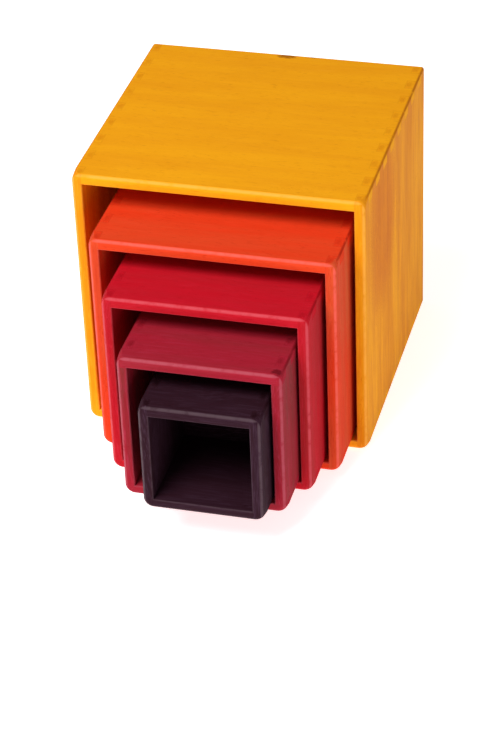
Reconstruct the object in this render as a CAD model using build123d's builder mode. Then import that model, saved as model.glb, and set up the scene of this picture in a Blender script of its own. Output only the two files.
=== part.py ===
from build123d import *

import os

# Five open wooden boxes, nested one inside the other. All of them lie on one side, mouths forward,
# and each is drawn part of the way out of the next larger one and rests on its lower wall.
# Every box is four boards, finger-jointed at the long corners, and a base panel let into a rebate
# at the back. As it lies, a box is a little wider than it is high, and as deep as it is high.
#
# Millimetres. X runs across the mouths, +Y runs from the mouths to the bases, +Z is up.
# The origin is the middle of the underside of the yellow box, which carries the others.

# Driving dimensions: the boards and the nest
SMALLEST_WIDTH = 81.0  # outside width of the purple box
SMALLEST_HEIGHT = 79.6  # its outside height and depth
BOARD = 7.2  # thickness of every wall
ROOM = 14.3  # free width left in a box by the next smaller one
HEADROOM = 13.8  # free height left above it
OUTER_ROOM = 18.5  # the same two in the yellow box, which is roomier
OUTER_HEADROOM = 18.0

# The base panel
BASE_PANEL = 5.0  # thickness
REBATE = 3.5  # how far it is let into each wall

# The corner joints
FINGER = 11.6  # width of one finger, before each box shares out its own depth evenly
FEWEST_FINGERS = 3

# The worked edges
MOUTH_ROUNDING = 4.5  # outer edge of the mouth
CORNER_ROUNDING = 2.0  # the four long corners
BACK_ROUNDING = 1.0  # outer edge around the base
MOUTH_CORNER = 6.5  # the corners of the mouth, seen from the front
MOUTH_TAPER = 9.0  # how steeply that rounder corner fades into the long corner, in degrees
MOUTH_BREAK = 0.6  # small bevel on the inner edge of the mouth
MOUTH_FLAT = 0.5  # least flat left between the rounding and that bevel

# How the nest lies. A mouth stands this far in front of the mouth around it.
DRAWN_OUT = {"orange": 38.6, "red": 35.2, "maroon": 35.5, "purple": 21.2}
# A box lies this far to the right of the middle, as a share of the free width on either side.
TO_THE_RIGHT = {"orange": 0.60, "red": 0.55, "maroon": 0.75, "purple": 0.69}
# The side walls have the first finger behind the mouth, but not on these boxes.
FLAT_WALLS_LEAD = ["maroon"]

COLOURS = ["yellow", "orange", "red", "maroon", "purple"]


def box_sizes():
    """Outside width and height of each box: each one clears the next smaller one by its room."""
    sizes = {"purple": (SMALLEST_WIDTH, SMALLEST_HEIGHT)}
    for outer, inner in reversed(list(zip(COLOURS, COLOURS[1:]))):
        room, headroom = (OUTER_ROOM, OUTER_HEADROOM) if outer == "yellow" else (ROOM, HEADROOM)
        width, height = sizes[inner]
        sizes[outer] = (width + 2 * BOARD + room, height + 2 * BOARD + headroom)
    return sizes


def box_places(sizes):
    """Middle of the lower front edge of each box, as (x, y, z)."""
    depth = sizes["yellow"][1]
    places = {"yellow": (0.0, -depth / 2, 0.0)}
    for outer, inner in zip(COLOURS, COLOURS[1:]):
        x, y, z = places[outer]
        free_width = (sizes[outer][0] - 2 * BOARD - sizes[inner][0]) / 2
        places[inner] = (x + TO_THE_RIGHT[inner] * free_width, y - DRAWN_OUT[inner], z + BOARD)
    return places


def finger_rows(depth, side_walls_lead):
    """Finger width, and the depths of the side walls' fingers and of the flat walls' fingers."""
    count = max(FEWEST_FINGERS, round(depth / FINGER))
    width = depth / count
    middles = [(number + 0.5) * width for number in range(count)]
    leading, following = middles[0::2], middles[1::2]
    if side_walls_lead:
        return width, leading, following
    return width, following, leading


def wall_shell(size, place):
    """The four walls of a box as one tube, with its worked edges and the rebate for the base."""
    width, height = size
    depth = height
    x, y, z = place
    mouth = Plane(origin=(x, y, z + height / 2), x_dir=(1, 0, 0), z_dir=(0, -1, 0))
    mouth_rounding = min(MOUTH_ROUNDING, BOARD - MOUTH_BREAK - MOUTH_FLAT)
    inner_width, inner_height = width - 2 * BOARD, height - 2 * BOARD
    with BuildPart() as sanded_mouth:
        with BuildSketch(mouth):
            RectangleRounded(width, height, MOUTH_CORNER)
        extrude(amount=-depth, taper=-MOUTH_TAPER)
        fillet(sanded_mouth.faces().sort_by(Axis.Y)[0].edges(), mouth_rounding)
    with BuildPart() as shell:
        with BuildSketch(mouth):
            RectangleRounded(width, height, CORNER_ROUNDING)
        extrude(amount=-depth)
        fillet(shell.faces().sort_by(Axis.Y)[-1].edges(), BACK_ROUNDING)
        add(sanded_mouth.part, mode=Mode.INTERSECT)
        with BuildSketch(mouth):
            Rectangle(inner_width, inner_height)
        extrude(amount=-depth, mode=Mode.SUBTRACT)
        chamfer(shell.faces().sort_by(Axis.Y)[0].inner_wires()[0].edges(), MOUTH_BREAK)
        with BuildSketch(mouth.offset(-depth)):
            Rectangle(inner_width + 2 * REBATE, inner_height + 2 * REBATE)
        extrude(amount=BASE_PANEL, mode=Mode.SUBTRACT)
    return shell.part


def flat_wall(name, shell, size, place, level, finger, depths):
    """An upper or lower wall, whose fingers reach out over the side walls."""
    width, height = size
    depth = height
    x, y, z = place
    with BuildPart() as wall:
        with BuildSketch(Plane(origin=(x, y, z + level))):
            with Locations((0, depth / 2)):
                Rectangle(width - 2 * BOARD, depth)
            with Locations(*[(0, middle) for middle in depths]):
                Rectangle(width, finger)
        extrude(amount=BOARD)
        add(shell, mode=Mode.INTERSECT)
    wall.part.label = name
    export_step(wall.part, f"parts/{name}.step")


def side_wall(name, shell, size, place, across, finger, depths):
    """A left or right wall, whose fingers reach up and down past the flat walls."""
    height = depth = size[1]
    x, y, z = place
    with BuildPart() as wall:
        with BuildSketch(Plane(origin=(x + across, y, z + height / 2), x_dir=(0, 1, 0), z_dir=(1, 0, 0))):
            with Locations((depth / 2, 0)):
                Rectangle(depth, height - 2 * BOARD)
            with Locations(*[(middle, 0) for middle in depths]):
                Rectangle(finger, height)
        extrude(amount=BOARD)
        add(shell, mode=Mode.INTERSECT)
    wall.part.label = name
    export_step(wall.part, f"parts/{name}.step")


def base_panel(name, size, place):
    """The panel that closes the back, glued into the rebate and flush with the walls."""
    width, height = size
    depth = height
    x, y, z = place
    back = Plane(origin=(x, y + depth, z + height / 2), x_dir=(1, 0, 0), z_dir=(0, -1, 0))
    with BuildPart() as panel:
        with BuildSketch(back):
            Rectangle(width - 2 * BOARD + 2 * REBATE, height - 2 * BOARD + 2 * REBATE)
        extrude(amount=BASE_PANEL)
    panel.part.label = name
    export_step(panel.part, f"parts/{name}.step")


os.makedirs("parts", exist_ok=True)
sizes = box_sizes()
places = box_places(sizes)
for colour in COLOURS:
    size = sizes[colour]
    place = places[colour]
    width, height = size
    finger, side_depths, flat_depths = finger_rows(height, colour not in FLAT_WALLS_LEAD)
    shell = wall_shell(size, place)
    flat_wall(f"{colour}_top_wall", shell, size, place, height - BOARD, finger, flat_depths)
    flat_wall(f"{colour}_bottom_wall", shell, size, place, 0, finger, flat_depths)
    side_wall(f"{colour}_left_wall", shell, size, place, -width / 2, finger, side_depths)
    side_wall(f"{colour}_right_wall", shell, size, place, width / 2 - BOARD, finger, side_depths)
    base_panel(f"{colour}_base_panel", size, place)
    print(colour, "box", round(width, 2), "wide", round(height, 2), "high and deep, place",
          [round(value, 2) for value in place], "finger", round(finger, 2))
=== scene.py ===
import math

import bmesh
import bpy
from mathutils import Matrix, Vector


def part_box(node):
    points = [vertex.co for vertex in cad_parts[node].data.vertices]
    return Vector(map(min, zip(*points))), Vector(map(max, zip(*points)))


bl_info = {
    "name": "Nesting Boxes Finish",
    "version": (1, 0, 0),
    "blender": (4, 5, 0),
    "location": "3D View > Sidebar > Nesting Boxes",
    "description": "Stains the boards of a nest of finger-jointed boxes and sets up a pale studio",
    "category": "Material",
}

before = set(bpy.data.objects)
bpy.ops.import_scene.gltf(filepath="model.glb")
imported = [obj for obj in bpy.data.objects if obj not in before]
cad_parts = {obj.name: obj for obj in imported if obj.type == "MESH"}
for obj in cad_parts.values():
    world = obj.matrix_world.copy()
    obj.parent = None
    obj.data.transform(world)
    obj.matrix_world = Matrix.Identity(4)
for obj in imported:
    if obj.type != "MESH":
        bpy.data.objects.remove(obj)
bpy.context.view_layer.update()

COLOURS = ("yellow", "orange", "red", "maroon", "purple")
MM = 1000.0  # the patterns are worked out in millimetres
# The turn that lays the fibres of a board along X before its grain is read
FIBRES_ACROSS = (0.0, 0.0, 0.0)
FIBRES_UPRIGHT = (0.0, math.radians(90), 0.0)
# How many fingers each box has along a corner, and the boxes whose flat walls have the first of them
FINGER_COUNTS = {"yellow": 17, "orange": 14, "red": 12, "maroon": 9, "purple": 7}
FLAT_WALLS_LEAD = ("maroon",)
# How strongly the patches of stain show on each box
PATCHES = {"yellow": 0.65, "orange": 0.8, "red": 0.8, "maroon": 1.0, "purple": 1.0}
# How dark the ends of its upright fingers are
FINGER_ENDS = {"yellow": 0.42, "orange": 0.4, "red": 0.5, "maroon": 0.8, "purple": 1.1}
# How strongly its fibres show
FIBRES = {"yellow": 0.9, "orange": 1.1, "red": 1.4, "maroon": 1.8, "purple": 2.6}
# How pale its rubbed edges and the painted highlight along its mouth are
EDGE_WEAR_AND_HIGHLIGHT = {"yellow": 0.6, "orange": 1.0, "red": 0.9, "maroon": 0.8, "purple": 0.6}

# What the boards of one kind have in common
# The patches on boards with upright fibres are partly painted sheen
PATCHES_UPRIGHT = 1.0  # share of the patches on boards with upright fibres
PATCHES_ACROSS = 0.25  # and on the others
FLAT_FIGURE = 0.45  # how strongly the growth rings show on the flat walls
SIDE_FIGURE = 2.0
PANEL_FIGURE = 1.0
MOST_FIBRES = 0.9  # the fibres follow the rings in strength, up to this
PALE_ENDS = 0.15  # how dark the cut ends of the flat walls and the panels are

# A broad place of painted shade on the upper front of the outside of each right wall, tinted in the box's patch
# colour, in half sizes of its box
PAINTED_SHADE_PLACE = (1.0, -0.45, 0.55)
PAINTED_SHADE_REACH = (0.45, 0.75)  # along the depth and the height
PAINTED_SHADE_THROUGH = 40.0  # across the wall, in millimetres

# What a stain is multiplied by
DEEP = (0.86, 0.68, 0.66, 1.0)
DARKER = (0.62, 0.42, 0.45, 1.0)
GLUE = (0.34, 0.20, 0.25, 1.0)
LIGHTER = (1.12, 1.2, 1.6, 1.0)
# What is added to the lighter stain, so that fibres also show on the dark box
VEIL = (0.022, 0.014, 0.018, 1.0)
# The wood under the stain, and how much of it shows at a rubbed edge; the same colour paints the highlight along the
# mouth
BARE_WOOD_AND_HIGHLIGHT = (0.58, 0.42, 0.42, 1.0)
BARE_AND_HIGHLIGHT_SHARE = 0.12

# The lights: place, aim and size in metres
KEY_LIGHT = ((-0.7, -1.35, 2.2), (0.0, 0.0, 0.1), 1.2)
LOW_LIGHT = ((0.62, -0.55, 0.16), (0.1, -0.1, 0.03), 0.25)


# Sizes and colours that a user would change

def stain(name, description, default):
    return bpy.props.FloatVectorProperty(
        name=name, description=description, subtype="COLOR", size=3, min=0, max=1, default=default)


class NestStains(bpy.types.PropertyGroup):
    """Stain of each box, as it looks on a flat board"""
    yellow: stain("Yellow box", "Stain of the largest box", (0.92, 0.385, 0.006))
    orange: stain("Orange box", "Stain of the second box", (0.78, 0.048, 0.010))
    red: stain("Red box", "Stain of the third box", (0.55, 0.006, 0.018))
    maroon: stain("Maroon box", "Stain of the fourth box", (0.37, 0.013, 0.030))
    purple: stain("Purple box", "Stain of the smallest box", (0.026, 0.0070, 0.013))


class NestPatches(bpy.types.PropertyGroup):
    """Colour of the patches where the stain took differently; on the side walls of the orange, red, maroon and purple
    boxes their duller, pinker cast is partly painted sheen. The same colour tints the painted shade on each right wall
    """
    yellow: stain("Yellow box", "Patches on the largest box", (0.62, 0.135, 0.004))
    orange: stain("Orange box", "Patches on the second box", (0.62, 0.120, 0.040))
    red: stain("Red box", "Patches on the third box", (0.36, 0.024, 0.026))
    maroon: stain("Maroon box", "Patches on the fourth box", (0.18, 0.032, 0.028))
    purple: stain("Purple box", "Patches on the smallest box", (0.038, 0.014, 0.028))


class NestFinish(bpy.types.PropertyGroup):
    """How the boards were cut, joined, worn and oiled, and how strong the painted highlight along the mouths is"""
    board: bpy.props.FloatProperty(
        name="Board", description="Thickness of the walls, in millimetres", min=1, default=7.2)
    figure: bpy.props.FloatProperty(
        name="Figure", description="How strongly the growth rings show", subtype="FACTOR", min=0, max=1, default=0.3)
    fibres: bpy.props.FloatProperty(
        name="Fibres", description="How strongly the fine fibres show", subtype="FACTOR", min=0, max=1, default=0.35)
    end_grain: bpy.props.FloatProperty(
        name="End grain", description="How much darker the ends of the upright fingers took the stain",
        subtype="FACTOR", min=0, max=1, default=0.9)
    # Scales the paler rubbed edges together with the painted highlight along the mouths
    wear_and_painted_light: bpy.props.FloatProperty(
        name="Wear", description="How much paler the rubbed edges are", subtype="FACTOR", min=0, max=1, default=0.8)
    lip: bpy.props.FloatProperty(
        name="Lip", description="Width of the wall left outside the base panel, in millimetres", min=0, default=3.7)
    seam: bpy.props.FloatProperty(
        name="Seam", description="Width of the glue line round a finger, in millimetres", min=0, default=0.35)
    roughness: bpy.props.FloatProperty(
        name="Roughness", description="Roughness of the oiled face", subtype="FACTOR", min=0, max=1, default=0.68)
    gloss: bpy.props.FloatProperty(
        name="Gloss", description="Strength of the reflections from the oil", subtype="FACTOR", min=0, max=1,
        default=0.06)


class NestStudio(bpy.types.PropertyGroup):
    """The camera, the lights and the floor"""
    camera_place: bpy.props.FloatVectorProperty(
        name="Camera place", description="Where the camera stands", subtype="TRANSLATION", unit="LENGTH",
        size=3, default=(0.4157, -1.5049, 1.0334))
    turn: bpy.props.FloatProperty(
        name="Turn", description="Turn to the left of straight ahead", subtype="ANGLE",
        default=math.radians(15.776))
    tilt: bpy.props.FloatProperty(
        name="Tilt", description="How far the camera looks down", subtype="ANGLE", default=math.radians(33.879))
    roll: bpy.props.FloatProperty(
        name="Roll", description="How far the camera leans over", subtype="ANGLE", default=math.radians(2.318))
    lens: bpy.props.FloatProperty(
        name="Lens", description="Focal length on a 36 mm sensor", subtype="DISTANCE_CAMERA", default=123.34)
    key_power: bpy.props.FloatProperty(
        name="Key light", description="Power of the large light in front on the left", subtype="POWER",
        unit="POWER", default=60.0)
    low_power: bpy.props.FloatProperty(
        name="Low light", description="Power of the small light near the floor on the right", subtype="POWER",
        unit="POWER", default=0.5)
    surround: bpy.props.FloatProperty(
        name="Surround", description="Brightness of the white room", min=0, default=0.25)
    floor_glow: bpy.props.FloatProperty(
        name="Floor glow", description="Brightness of the lit floor panel", min=0, default=0.76)


# Short ways to build node trees

def node(tree, kind, inputs=None, **settings):
    """Adds a node, sets its properties, and fills its sockets with values or with links."""
    made = tree.nodes.new(kind)
    for name, value in settings.items():
        setattr(made, name, value)
    for socket, value in (inputs or {}).items():
        if isinstance(value, bpy.types.NodeSocket):
            tree.links.new(value, made.inputs[socket])
        else:
            made.inputs[socket].default_value = value
    return made


def calc(tree, operation, *values):
    """One step of arithmetic."""
    return node(tree, "ShaderNodeMath", dict(enumerate(values)), operation=operation).outputs[0]


def fade(tree, value, start, end):
    """From 0 at start to 1 at end, eased, whichever of the two is larger."""
    return node(tree, "ShaderNodeMapRange", {"Value": value, "From Min": start, "From Max": end},
                interpolation_type="SMOOTHSTEP").outputs[0]


def stretched_noise(tree, vector, scale, **settings):
    """Noise on a position in millimetres, with its own scale along each axis."""
    place = node(tree, "ShaderNodeMapping", {"Vector": vector, "Scale": scale}).outputs[0]
    return node(tree, "ShaderNodeTexNoise", {"Vector": place, "Scale": 1.0, **settings}).outputs[0]


def tint(tree, factor, colour, other, mode="MIX"):
    """Blends two colours."""
    mix = node(tree, "ShaderNodeMix", data_type="RGBA", blend_type=mode)
    for socket, value in ((0, factor), (6, colour), (7, other)):
        if isinstance(value, bpy.types.NodeSocket):
            tree.links.new(value, mix.inputs[socket])
        else:
            mix.inputs[socket].default_value = value
    return mix.outputs[2]


def sockets(kind, *names):
    """Several sockets of one kind, for new_group."""
    return dict.fromkeys(names, kind)


def new_group(name, inputs, outputs):
    """An empty shader node group with named sockets: its tree, its inputs and its output node."""
    tree = bpy.data.node_groups.new(name, "ShaderNodeTree")
    kinds = {"vector": "NodeSocketVector", "colour": "NodeSocketColor", "value": "NodeSocketFloat"}
    for socket, kind in inputs.items():
        tree.interface.new_socket(socket, in_out="INPUT", socket_type=kinds[kind])
    for socket, kind in outputs.items():
        tree.interface.new_socket(socket, in_out="OUTPUT", socket_type=kinds[kind])
    entry = tree.nodes.new("NodeGroupInput")
    leave = tree.nodes.new("NodeGroupOutput")
    return tree, entry.outputs, leave.inputs


def use_group(tree, name, inputs):
    """Places a shared effect in a material or in another group and returns its outputs."""
    placed = tree.nodes.new("ShaderNodeGroup")
    placed.node_tree = bpy.data.node_groups[name]
    for socket, value in inputs.items():
        if isinstance(value, bpy.types.NodeSocket):
            tree.links.new(value, placed.inputs[socket])
        else:
            placed.inputs[socket].default_value = value
    return placed.outputs


# The effects that all the boards share

def make_box_place():
    """How far a point lies from the outer faces of its box, in millimetres."""
    tree, given, out = new_group(
        "Box Place", sockets("vector", "Vector", "Middle", "Half Size"),
        sockets("value", "From Side", "From Level", "From Mouth", "From Base"))
    offset = node(tree, "ShaderNodeVectorMath", {0: given["Vector"], 1: given["Middle"]},
                  operation="SUBTRACT").outputs[0]
    spread = node(tree, "ShaderNodeVectorMath", {0: offset}, operation="ABSOLUTE").outputs[0]
    left = node(tree, "ShaderNodeVectorMath", {0: given["Half Size"], 1: spread}, operation="SUBTRACT").outputs[0]
    near = node(tree, "ShaderNodeSeparateXYZ", {0: left}).outputs
    along = node(tree, "ShaderNodeSeparateXYZ", {0: offset}).outputs[1]
    half_depth = node(tree, "ShaderNodeSeparateXYZ", {0: given["Half Size"]}).outputs[1]
    tree.links.new(near[0], out["From Side"])
    tree.links.new(near[2], out["From Level"])
    tree.links.new(calc(tree, "ADD", half_depth, along), out["From Mouth"])
    tree.links.new(calc(tree, "SUBTRACT", half_depth, along), out["From Base"])


def make_board_grain():
    """Growth rings, fibres, short dark pores and the blotches of the stain, for fibres along X."""
    tree, given, out = new_group(
        "Board Grain", {"Vector": "vector", **sockets("value", "Seed", "Tilt")},
        sockets("value", "Figure", "Fibre", "Pore", "Blotch"))
    seed = node(tree, "ShaderNodeCombineXYZ", {0: given["Seed"], 1: calc(tree, "MULTIPLY", given["Seed"], 1.7),
                                               2: calc(tree, "MULTIPLY", given["Seed"], -0.6)}).outputs[0]
    moved = node(tree, "ShaderNodeVectorMath", {0: given["Vector"], 1: seed}, operation="ADD").outputs[0]
    lean = node(tree, "ShaderNodeVectorRotate", {"Vector": moved, "Axis": (0.0, 0.6, 0.8), "Angle": given["Tilt"]},
                rotation_type="AXIS_ANGLE").outputs[0]
    # A slow sway bends the rings and the fibres alike
    sway = stretched_noise(tree, lean, (0.006, 0.02, 0.02), Detail=2.0)
    bend = node(tree, "ShaderNodeCombineXYZ", {1: calc(tree, "MULTIPLY", sway, 40.0),
                                               2: calc(tree, "MULTIPLY", sway, 25.0)}).outputs[0]
    swayed = node(tree, "ShaderNodeVectorMath", {0: lean, 1: bend}, operation="ADD").outputs[0]
    rings = stretched_noise(tree, swayed, (0.003, 0.11, 0.11), Detail=4.0, Roughness=0.62)
    tree.links.new(fade(tree, rings, 0.3, 0.7), out["Figure"])
    fibre = stretched_noise(tree, swayed, (0.03, 1.1, 1.1), Detail=4.0, Roughness=0.65)
    tree.links.new(fade(tree, fibre, 0.3, 0.7), out["Fibre"])
    pore = stretched_noise(tree, swayed, (0.16, 1.9, 1.9), Detail=1.0)
    tree.links.new(fade(tree, pore, 0.64, 0.74), out["Pore"])
    blotch = stretched_noise(tree, moved, (0.008, 0.07, 0.07), Detail=3.0, Roughness=0.6, Distortion=0.3)
    tree.links.new(fade(tree, blotch, 0.32, 0.68), out["Blotch"])


def make_joint_marks():
    """Glue lines round the fingers behind the mouth and round the base panel, and the ends of the fingers."""
    tree, given, out = new_group(
        "Joint Marks", sockets("value", "From Side", "From Level", "From Mouth", "From Base", "Board", "Lip", "Finger",
                               "Flat Walls Lead", "Width"),
        sockets("value", "Seam", "Finger End"))
    outer = calc(tree, "MINIMUM", given["From Side"], given["From Level"])
    inward = calc(tree, "MAXIMUM", given["From Side"], given["From Level"])
    on_side = calc(tree, "LESS_THAN", given["From Side"], given["From Level"])
    step = calc(tree, "DIVIDE", given["From Mouth"], given["Finger"])
    middle = calc(tree, "ABSOLUTE", calc(tree, "SUBTRACT", calc(tree, "FRACT", step), 0.5))
    to_end = calc(tree, "MULTIPLY", calc(tree, "SUBTRACT", 0.5, middle), given["Finger"])
    parity = calc(tree, "FLOORED_MODULO", calc(tree, "ADD", calc(tree, "FLOOR", step), given["Flat Walls Lead"]),
                  2.0)
    cut_here = calc(tree, "SUBTRACT", 1.0, calc(tree, "ABSOLUTE", calc(tree, "SUBTRACT", parity, on_side)))
    half = calc(tree, "MULTIPLY", given["Width"], 0.5)
    wide = calc(tree, "MULTIPLY", given["Width"], 1.6)
    across = calc(tree, "MULTIPLY", fade(tree, to_end, wide, half),
                  calc(tree, "LESS_THAN", inward, calc(tree, "ADD", given["Board"], 0.1)))
    across = calc(tree, "MULTIPLY", across, calc(tree, "GREATER_THAN", given["From Mouth"], 2.0))
    to_board = calc(tree, "ABSOLUTE", calc(tree, "SUBTRACT", inward, given["Board"]))
    along = calc(tree, "MULTIPLY", fade(tree, to_board, wide, half), cut_here)
    seam = calc(tree, "MAXIMUM", across, along)
    shown = calc(tree, "LESS_THAN", outer, calc(tree, "SUBTRACT", given["Board"], 0.8))
    behind_mouth = fade(tree, given["From Mouth"], 2.5, 5.0)
    fingers = calc(tree, "MULTIPLY", seam, calc(tree, "MULTIPLY", shown, behind_mouth))
    # The base panel meets the walls at the back, a lip's width in from the outer faces
    to_panel = calc(tree, "ABSOLUTE", calc(tree, "SUBTRACT", outer, given["Lip"]))
    panel = calc(tree, "MULTIPLY", fade(tree, to_panel, wide, half), calc(tree, "LESS_THAN", given["From Base"], 0.4))
    tree.links.new(calc(tree, "MAXIMUM", fingers, calc(tree, "MULTIPLY", panel, 3.0)), out["Seam"])
    # The stain soaked deepest into the middle of a finger's end, away from the rubbed corner
    soaked_ends_and_painted_shade = calc(tree, "MULTIPLY", fade(tree, to_end, 0.6, 4.6),
                  calc(tree, "MULTIPLY", fade(tree, inward, 1.8, 4.4), fade(tree, inward, 7.4, 6.0)))
    tree.links.new(calc(tree, "MULTIPLY", soaked_ends_and_painted_shade, fade(tree, given["From Mouth"], 1.5, 4.0)), out["Finger End"])


def make_edge_wear_and_painted_light():
    """Where hands and sanding rub the stain, a painted highlight along the mouth's rim, and a thin painted shade line
    along the long corners.
    """
    tree, given, out = new_group(
        "Edge Wear And Painted Light", {"Vector": "vector",
                      **sockets("value", "From Side", "From Level", "From Mouth", "From Base", "Board")},
        sockets("value", "Rub", "Mouth Highlight", "Arris Shade"))
    outer = calc(tree, "MINIMUM", given["From Side"], given["From Level"])
    inner = calc(tree, "ABSOLUTE", calc(tree, "SUBTRACT", given["Board"], outer))
    corner = calc(tree, "MAXIMUM", given["From Side"], given["From Level"])
    mouth = calc(tree, "MAXIMUM", given["From Mouth"], outer)
    inner_mouth = calc(tree, "ADD", calc(tree, "MAXIMUM", given["From Mouth"], inner), 0.8)
    base = calc(tree, "ADD", calc(tree, "MAXIMUM", given["From Base"], outer), 1.0)
    edge = calc(tree, "MINIMUM", calc(tree, "MINIMUM", mouth, inner_mouth),
                calc(tree, "MINIMUM", calc(tree, "ADD", corner, 0.4), base))
    broken = stretched_noise(tree, given["Vector"], (0.14, 0.14, 0.14), Detail=4.0, Roughness=0.6)
    reach = calc(tree, "MULTIPLY_ADD", broken, 2.2, 0.7)
    tree.links.new(fade(tree, edge, reach, 0.6), out["Rub"])
    # Painted highlight: a narrow pale band along the middle of the mouth's rounded rim and a fainter line at its inner
    # edge, where the key light glints
    inner_line = calc(tree, "MULTIPLY", fade(tree, inner_mouth, 1.9, 1.2), 0.45)
    line = calc(tree, "MAXIMUM", fade(tree, mouth, 2.3, 1.4), inner_line)
    tree.links.new(calc(tree, "MULTIPLY", line, fade(tree, broken, 0.15, 0.55)), out["Mouth Highlight"])
    # Painted shade: a thin dark line along the long corners, where their rounding turns away from the lights
    arris_shade = calc(tree, "MULTIPLY", fade(tree, corner, 1.8, 0.6), fade(tree, given["From Mouth"], 4.0, 9.0))
    tree.links.new(calc(tree, "MULTIPLY", arris_shade, fade(tree, broken, 0.25, 0.5)), out["Arris Shade"])


def make_end_grain():
    """Faces that cut across the fibres, speckled with open pores."""
    tree, given, out = new_group(
        "End Grain", sockets("vector", "Vector", "Fibre Axis"), sockets("value", "End", "Speckle"))
    normal = node(tree, "ShaderNodeNewGeometry").outputs["Normal"]
    along = node(tree, "ShaderNodeVectorMath", {0: normal, 1: given["Fibre Axis"]},
                 operation="DOT_PRODUCT").outputs["Value"]
    tree.links.new(fade(tree, calc(tree, "ABSOLUTE", along), 0.72, 0.98), out["End"])
    speckle = stretched_noise(tree, given["Vector"], (0.9, 0.9, 0.9), Detail=3.0)
    tree.links.new(fade(tree, speckle, 0.35, 0.65), out["Speckle"])


def make_dark_spot():
    """A ragged spot of any size: a small dark flaw such as a knot, or a broad place of painted shade."""
    tree, given, out = new_group(
        "Dark Spot", sockets("vector", "Vector", "Place", "Size"), {"Spot": "value"})
    offset = node(tree, "ShaderNodeVectorMath", {0: given["Vector"], 1: given["Place"]},
                  operation="SUBTRACT").outputs[0]
    scaled = node(tree, "ShaderNodeVectorMath", {0: offset, 1: given["Size"]}, operation="DIVIDE").outputs[0]
    away = node(tree, "ShaderNodeVectorMath", {0: scaled}, operation="LENGTH").outputs["Value"]
    ragged = stretched_noise(tree, given["Vector"], (0.5, 0.8, 0.8), Detail=3.0)
    edge = calc(tree, "ADD", away, calc(tree, "MULTIPLY_ADD", ragged, 1.2, -0.6))
    tree.links.new(fade(tree, edge, 1.15, 0.5), out["Spot"])


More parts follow.
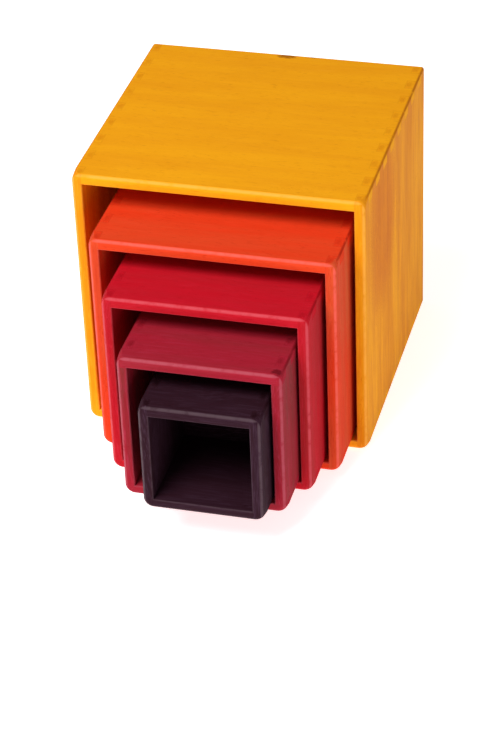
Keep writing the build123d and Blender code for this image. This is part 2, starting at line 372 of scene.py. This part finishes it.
def make_stained_wood():
    """The stain on the wood, with a painted highlight along the mouth and painted shade marks: colour, roughness and
    the height of the surface in millimetres.
    """
    tree, given, out = new_group(
        "Stained Wood",
        {**sockets("colour", "Stain", "Patch"),
         **sockets("value", "Figure", "Fibre", "Pore", "Blotch", "End", "Speckle", "Finger End", "Rub", "Mouth Highlight",
                   "Arris Shade", "Seam", "Spot", "Painted Shade", "Figure Strength", "Fibre Strength", "Blotch Strength",
                   "End Darkness", "Rub And Highlight Strength", "Oiled Roughness")},
        {"Base Color": "colour", "Roughness": "value", "Height": "value"})
    stain_colour = given["Stain"]
    deep = tint(tree, 1.0, stain_colour, DEEP, "MULTIPLY")
    darker = tint(tree, 1.0, stain_colour, DARKER, "MULTIPLY")
    glue = tint(tree, 1.0, stain_colour, GLUE, "MULTIPLY")
    pale = tint(tree, 1.0, tint(tree, 1.0, stain_colour, LIGHTER, "MULTIPLY"), VEIL, "ADD")
    bare_and_highlight = tint(tree, BARE_AND_HIGHLIGHT_SHARE, pale, BARE_WOOD_AND_HIGHLIGHT)
    # The patches lie on the faces, not on the cut ends
    face = calc(tree, "SUBTRACT", 1.0, given["End"])
    blotch = calc(tree, "MULTIPLY", calc(tree, "MULTIPLY", given["Blotch"], given["Blotch Strength"]), face)
    # The patch colour is partly painted sheen on the side walls
    colour = tint(tree, blotch, stain_colour, given["Patch"])
    # Painted shade: the upper front of each right wall is tinted towards the patch colour
    soaked_ends_and_painted_shade = calc(tree, "MULTIPLY", calc(tree, "MULTIPLY", given["Painted Shade"], 0.9), face)
    colour = tint(tree, soaked_ends_and_painted_shade, colour, given["Patch"])
    colour = tint(tree, calc(tree, "MULTIPLY", given["Figure"], given["Figure Strength"]), colour, deep)
    light_fibre = calc(tree, "MULTIPLY", fade(tree, given["Fibre"], 0.5, 1.0), given["Fibre Strength"])
    colour = tint(tree, light_fibre, colour, pale)
    dark_fibre = calc(tree, "MULTIPLY", fade(tree, given["Fibre"], 0.5, 0.0), given["Fibre Strength"])
    colour = tint(tree, dark_fibre, colour, deep)
    colour = tint(tree, calc(tree, "MULTIPLY", given["Pore"], 0.45), colour, darker)
    # Rubbed edges and the painted highlight along the mouth are both paled towards the bare wood colour
    thin = calc(tree, "MULTIPLY_ADD", given["Rub"], 0.25, given["Mouth Highlight"])
    rub_and_highlight = calc(tree, "MINIMUM", calc(tree, "MULTIPLY", thin, given["Rub And Highlight Strength"]), 1.0)
    colour = tint(tree, rub_and_highlight, colour, bare_and_highlight)
    ends = calc(tree, "MULTIPLY", calc(tree, "MULTIPLY", given["End"], given["Finger End"]),
                given["End Darkness"])
    ends = calc(tree, "MULTIPLY", ends, calc(tree, "MULTIPLY_ADD", given["Speckle"], 0.5, 0.65))
    colour = tint(tree, ends, colour, darker)
    colour = tint(tree, calc(tree, "MULTIPLY", given["Seam"], 0.13), colour, glue)
    # Painted shade along the long corners
    colour = tint(tree, calc(tree, "MULTIPLY", given["Arris Shade"], 0.95), colour, darker)
    colour = tint(tree, calc(tree, "MULTIPLY", given["Spot"], 0.8), colour, glue)
    tree.links.new(colour, out["Base Color"])
    rough = calc(tree, "MULTIPLY_ADD", given["Fibre"], 0.10, given["Oiled Roughness"])
    rough = calc(tree, "MULTIPLY_ADD", given["End"], 0.15, rough)
    rough = calc(tree, "MULTIPLY_ADD", given["Mouth Highlight"], -0.25, rough)
    rough = calc(tree, "MULTIPLY_ADD", given["Pore"], 0.12, rough)
    tree.links.new(rough, out["Roughness"])
    # How far each mark stands out of the face, or is sunk into it, in millimetres
    height = calc(tree, "MULTIPLY", given["Fibre"], 0.035)
    height = calc(tree, "MULTIPLY_ADD", given["Figure"], 0.03, height)
    height = calc(tree, "MULTIPLY_ADD", given["Pore"], -0.06, height)
    height = calc(tree, "MULTIPLY_ADD", given["Seam"], -0.04, height)
    height = calc(tree, "MULTIPLY_ADD", given["Spot"], -0.3, height)
    height = calc(tree, "MULTIPLY_ADD", calc(tree, "MULTIPLY", given["End"], given["Speckle"]), 0.015, height)
    tree.links.new(height, out["Height"])


# The boards

def box_size(colour):
    """Middle and half size of a box in millimetres, from its own boards."""
    low, high = (Vector(c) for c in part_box(f"{colour}_left_wall"))
    right = Vector(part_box(f"{colour}_right_wall")[1])
    low, high = low * MM, Vector((right.x, high.y, high.z)) * MM
    return (low + high) / 2, (high - low) / 2


def board_material(scene, name, turn, seed, figure, end_darkness, spots=()):
    """The material of one board: its own piece of wood, with the stain of its box."""
    finish = scene.nest_finish
    colour = name.split("_")[0]
    middle, half = box_size(colour)
    material = bpy.data.materials.new(name)
    material.use_nodes = True
    tree = material.node_tree
    tree.nodes.clear()
    place = node(tree, "ShaderNodeTexCoord").outputs["Object"]
    point = node(tree, "ShaderNodeMapping", {"Vector": place, "Scale": (MM, MM, MM)}).outputs[0]
    fibres = node(tree, "ShaderNodeMapping", {"Vector": point, "Rotation": turn}).outputs[0]
    spans = use_group(tree, "Box Place", {"Vector": point, "Middle": middle, "Half Size": half})
    grain = use_group(tree, "Board Grain", {"Vector": fibres, "Seed": seed * 173.0,
                                            "Tilt": math.radians(1.5 * math.sin(seed * 2.4))})
    ends = use_group(tree, "End Grain", {
        "Vector": point, "Fibre Axis": (1.0, 0.0, 0.0) if turn == FIBRES_ACROSS else (0.0, 0.0, 1.0)})
    wear_and_painted_light = use_group(tree, "Edge Wear And Painted Light", {
        "Vector": point, "Board": finish.board,
        **{socket: spans[socket] for socket in ("From Side", "From Level", "From Mouth", "From Base")}})
    joints = use_group(tree, "Joint Marks", {
        "Board": finish.board, "Lip": finish.lip, "Finger": 2 * half.y / FINGER_COUNTS[colour],
        "Flat Walls Lead": 1.0 if colour in FLAT_WALLS_LEAD else 0.0, "Width": finish.seam,
        **{socket: spans[socket] for socket in ("From Side", "From Level", "From Mouth", "From Base")}})
    spot = 0.0
    for flaw_place, flaw_size in spots:
        flaw = use_group(tree, "Dark Spot", {"Vector": point, "Place": flaw_place, "Size": flaw_size})
        spot = calc(tree, "MAXIMUM", spot, flaw["Spot"])
    # Painted shade, tinting the upper front of the right wall
    soaked_ends_and_painted_shade = 0.0
    if turn == FIBRES_UPRIGHT:
        shade_place = middle + Vector(PAINTED_SHADE_PLACE) * half
        shade_size = (PAINTED_SHADE_THROUGH, PAINTED_SHADE_REACH[0] * half.y, PAINTED_SHADE_REACH[1] * half.z)
        soaked_ends_and_painted_shade = use_group(tree, "Dark Spot", {"Vector": point, "Place": shade_place, "Size": shade_size})["Spot"]
    wood = use_group(tree, "Stained Wood", {
        "Stain": (*getattr(scene.nest_stains, colour), 1.0),
        **{socket: grain[socket] for socket in ("Figure", "Fibre", "Pore", "Blotch")},
        **{socket: ends[socket] for socket in ("End", "Speckle")},
        **{socket: wear_and_painted_light[socket] for socket in ("Rub", "Mouth Highlight", "Arris Shade")},
        "Patch": (*getattr(scene.nest_patches, colour), 1.0),
        "Seam": joints["Seam"], "Finger End": joints["Finger End"], "Spot": spot, "Painted Shade": soaked_ends_and_painted_shade,
        "Figure Strength": finish.figure * figure,
        "Fibre Strength": finish.fibres * FIBRES[colour] * min(figure, MOST_FIBRES),
        "Blotch Strength": PATCHES[colour] * (PATCHES_UPRIGHT if turn == FIBRES_UPRIGHT else PATCHES_ACROSS),
        "End Darkness": end_darkness * FINGER_ENDS[colour],
        "Rub And Highlight Strength": finish.wear_and_painted_light * EDGE_WEAR_AND_HIGHLIGHT[colour], "Oiled Roughness": finish.roughness})
    bump = node(tree, "ShaderNodeBump", {"Strength": 0.6, "Distance": 0.001, "Height": wood["Height"]})
    shader = node(tree, "ShaderNodeBsdfPrincipled", {
        "Base Color": wood["Base Color"], "Roughness": wood["Roughness"], "Specular IOR Level": finish.gloss,
        "Normal": bump.outputs[0]})
    node(tree, "ShaderNodeOutputMaterial", {"Surface": shader.outputs[0]})
    return material


def finish_boards(scene, endings, turn, figure, end_darkness, flaws=None):
    """Stains every board whose name has one of the endings."""
    for number, colour in enumerate(COLOURS):
        for place, ending in enumerate(endings):
            name = f"{colour}_{ending}"
            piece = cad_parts[name]
            seed = 1.0 + 5 * number + place + 0.37 * len(ending)
            spots = (flaws or {}).get(name, ())
            material = board_material(scene, name, turn, seed, figure, end_darkness, spots)
            piece.data.materials.clear()
            piece.data.materials.append(material)


class NEST_OT_effects(bpy.types.Operator):
    """Builds the node groups that all the boards share"""
    bl_idname = "nest.effects"
    bl_label = "Shared effects"

    def execute(self, context):
        make_box_place()
        make_board_grain()
        make_joint_marks()
        make_edge_wear_and_painted_light()
        make_end_grain()
        make_dark_spot()
        make_stained_wood()
        return {"FINISHED"}


class NEST_OT_flat_walls(bpy.types.Operator):
    """Stains the upper and lower walls, whose fibres run across the mouth"""
    bl_idname = "nest.flat_walls"
    bl_label = "Flat walls"

    def execute(self, context):
        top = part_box("yellow_top_wall")[1][2] * MM
        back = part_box("yellow_top_wall")[1][1] * MM
        middle, half = box_size("maroon")
        flaws = {
            "yellow_top_wall": (((0.5, back - 2.4, top), (7.5, 3.6, 3.0)), ((20.0, back - 0.5, top), (3.0, 1.4, 3.0))),
            "maroon_top_wall": (((middle.x + half.x - 4.0, middle.y - half.y + 5.0, middle.z + half.z),
                                 (4.0, 3.2, 4.0)),),
        }
        finish_boards(context.scene, ("top_wall", "bottom_wall"), FIBRES_ACROSS, FLAT_FIGURE, PALE_ENDS, flaws)
        return {"FINISHED"}


class NEST_OT_side_walls(bpy.types.Operator):
    """Stains the left and right walls, whose fibres stand upright"""
    bl_idname = "nest.side_walls"
    bl_label = "Side walls"

    def execute(self, context):
        ends = context.scene.nest_finish.end_grain
        finish_boards(context.scene, ("left_wall", "right_wall"), FIBRES_UPRIGHT, SIDE_FIGURE, ends)
        return {"FINISHED"}


class NEST_OT_base_panels(bpy.types.Operator):
    """Stains the panels that close the boxes"""
    bl_idname = "nest.base_panels"
    bl_label = "Base panels"

    def execute(self, context):
        finish_boards(context.scene, ("base_panel",), FIBRES_ACROSS, PANEL_FIGURE, PALE_ENDS)
        return {"FINISHED"}


# The studio

def floor_material(glow):
    material = bpy.data.materials.new("pale floor")
    material.use_nodes = True
    tree = material.node_tree
    tree.nodes.clear()
    place = node(tree, "ShaderNodeTexCoord").outputs["Object"]
    cloud = stretched_noise(tree, place, (3.0, 3.0, 3.0), Detail=3.0)
    colour = tint(tree, cloud, (0.90, 0.90, 0.895, 1.0), (0.93, 0.93, 0.93, 1.0))
    shader = node(tree, "ShaderNodeBsdfPrincipled", {
        "Base Color": colour, "Roughness": 0.8, "Specular IOR Level": 0.1, "Emission Color": (1.0, 1.0, 1.0, 1.0),
        "Emission Strength": glow})
    node(tree, "ShaderNodeOutputMaterial", {"Surface": shader.outputs[0]})
    return material


def area_light(scene, name, place, aim, size, power):
    lamp = bpy.data.lights.new(name, "AREA")
    lamp.size = size
    lamp.energy = power
    made = bpy.data.objects.new(name, lamp)
    made.location = place
    made.rotation_euler = (Vector(aim) - Vector(place)).to_track_quat("-Z", "Y").to_euler()
    scene.collection.objects.link(made)


class NEST_OT_stage(bpy.types.Operator):
    """Lays the pale floor and sets up the lights and the camera"""
    bl_idname = "nest.stage"
    bl_label = "Stage"

    def execute(self, context):
        scene = context.scene
        studio = scene.nest_studio
        mesh = bmesh.new()
        bmesh.ops.create_grid(mesh, x_segments=1, y_segments=1, size=6.0)
        data = bpy.data.meshes.new("floor")
        mesh.to_mesh(data)
        mesh.free()
        floor = bpy.data.objects.new("floor", data)
        scene.collection.objects.link(floor)
        floor.data.materials.append(floor_material(studio.floor_glow))
        area_light(scene, "key light", *KEY_LIGHT, studio.key_power)
        area_light(scene, "low light", *LOW_LIGHT, studio.low_power)
        world = bpy.data.worlds.new("white room")
        world.use_nodes = True
        background = world.node_tree.nodes["Background"]
        background.inputs["Color"].default_value = (1.0, 1.0, 1.0, 1.0)
        background.inputs["Strength"].default_value = studio.surround
        scene.world = world
        scene.view_settings.view_transform = "Standard"

        camera = bpy.data.objects.new("camera", bpy.data.cameras.new("camera"))
        camera.data.sensor_width = 36.0
        camera.data.lens = studio.lens
        scene.collection.objects.link(camera)
        look = (Matrix.Rotation(studio.turn, 4, "Z")
                @ Matrix.Rotation(math.radians(90) - studio.tilt, 4, "X")
                @ Matrix.Rotation(-studio.roll, 4, "Z"))
        camera.matrix_world = Matrix.Translation(studio.camera_place) @ look
        scene.camera = camera
        return {"FINISHED"}


class NEST_PT_panel(bpy.types.Panel):
    """Lists the steps and the settings of the nest"""
    bl_idname = "NEST_PT_panel"
    bl_label = "Nesting Boxes"
    bl_space_type = "VIEW_3D"
    bl_region_type = "UI"
    bl_category = "Nesting Boxes"

    def draw(self, context):
        layout = self.layout
        for settings in (context.scene.nest_stains, context.scene.nest_patches, context.scene.nest_finish,
                         context.scene.nest_studio):
            section = layout.box()
            section.label(text=settings.bl_rna.description)
            for name in settings.bl_rna.properties.keys():
                if name not in ("rna_type", "name"):
                    section.prop(settings, name)
        for step in STEPS:
            layout.operator(step.bl_idname)


STEPS = (NEST_OT_effects, NEST_OT_flat_walls, NEST_OT_side_walls, NEST_OT_base_panels, NEST_OT_stage)
CLASSES = (NestStains, NestPatches, NestFinish, NestStudio, *STEPS, NEST_PT_panel)


def register():
    for cls in CLASSES:
        bpy.utils.register_class(cls)
    bpy.types.Scene.nest_stains = bpy.props.PointerProperty(type=NestStains)
    bpy.types.Scene.nest_patches = bpy.props.PointerProperty(type=NestPatches)
    bpy.types.Scene.nest_finish = bpy.props.PointerProperty(type=NestFinish)
    bpy.types.Scene.nest_studio = bpy.props.PointerProperty(type=NestStudio)


def unregister():
    del bpy.types.Scene.nest_studio
    del bpy.types.Scene.nest_finish
    del bpy.types.Scene.nest_patches
    del bpy.types.Scene.nest_stains
    for cls in reversed(CLASSES):
        bpy.utils.unregister_class(cls)


def main():
    register()
    bpy.ops.nest.effects()
    bpy.ops.nest.flat_walls()
    bpy.ops.nest.side_walls()
    bpy.ops.nest.base_panels()
    bpy.ops.nest.stage()


if __name__ == "__main__":
    main()
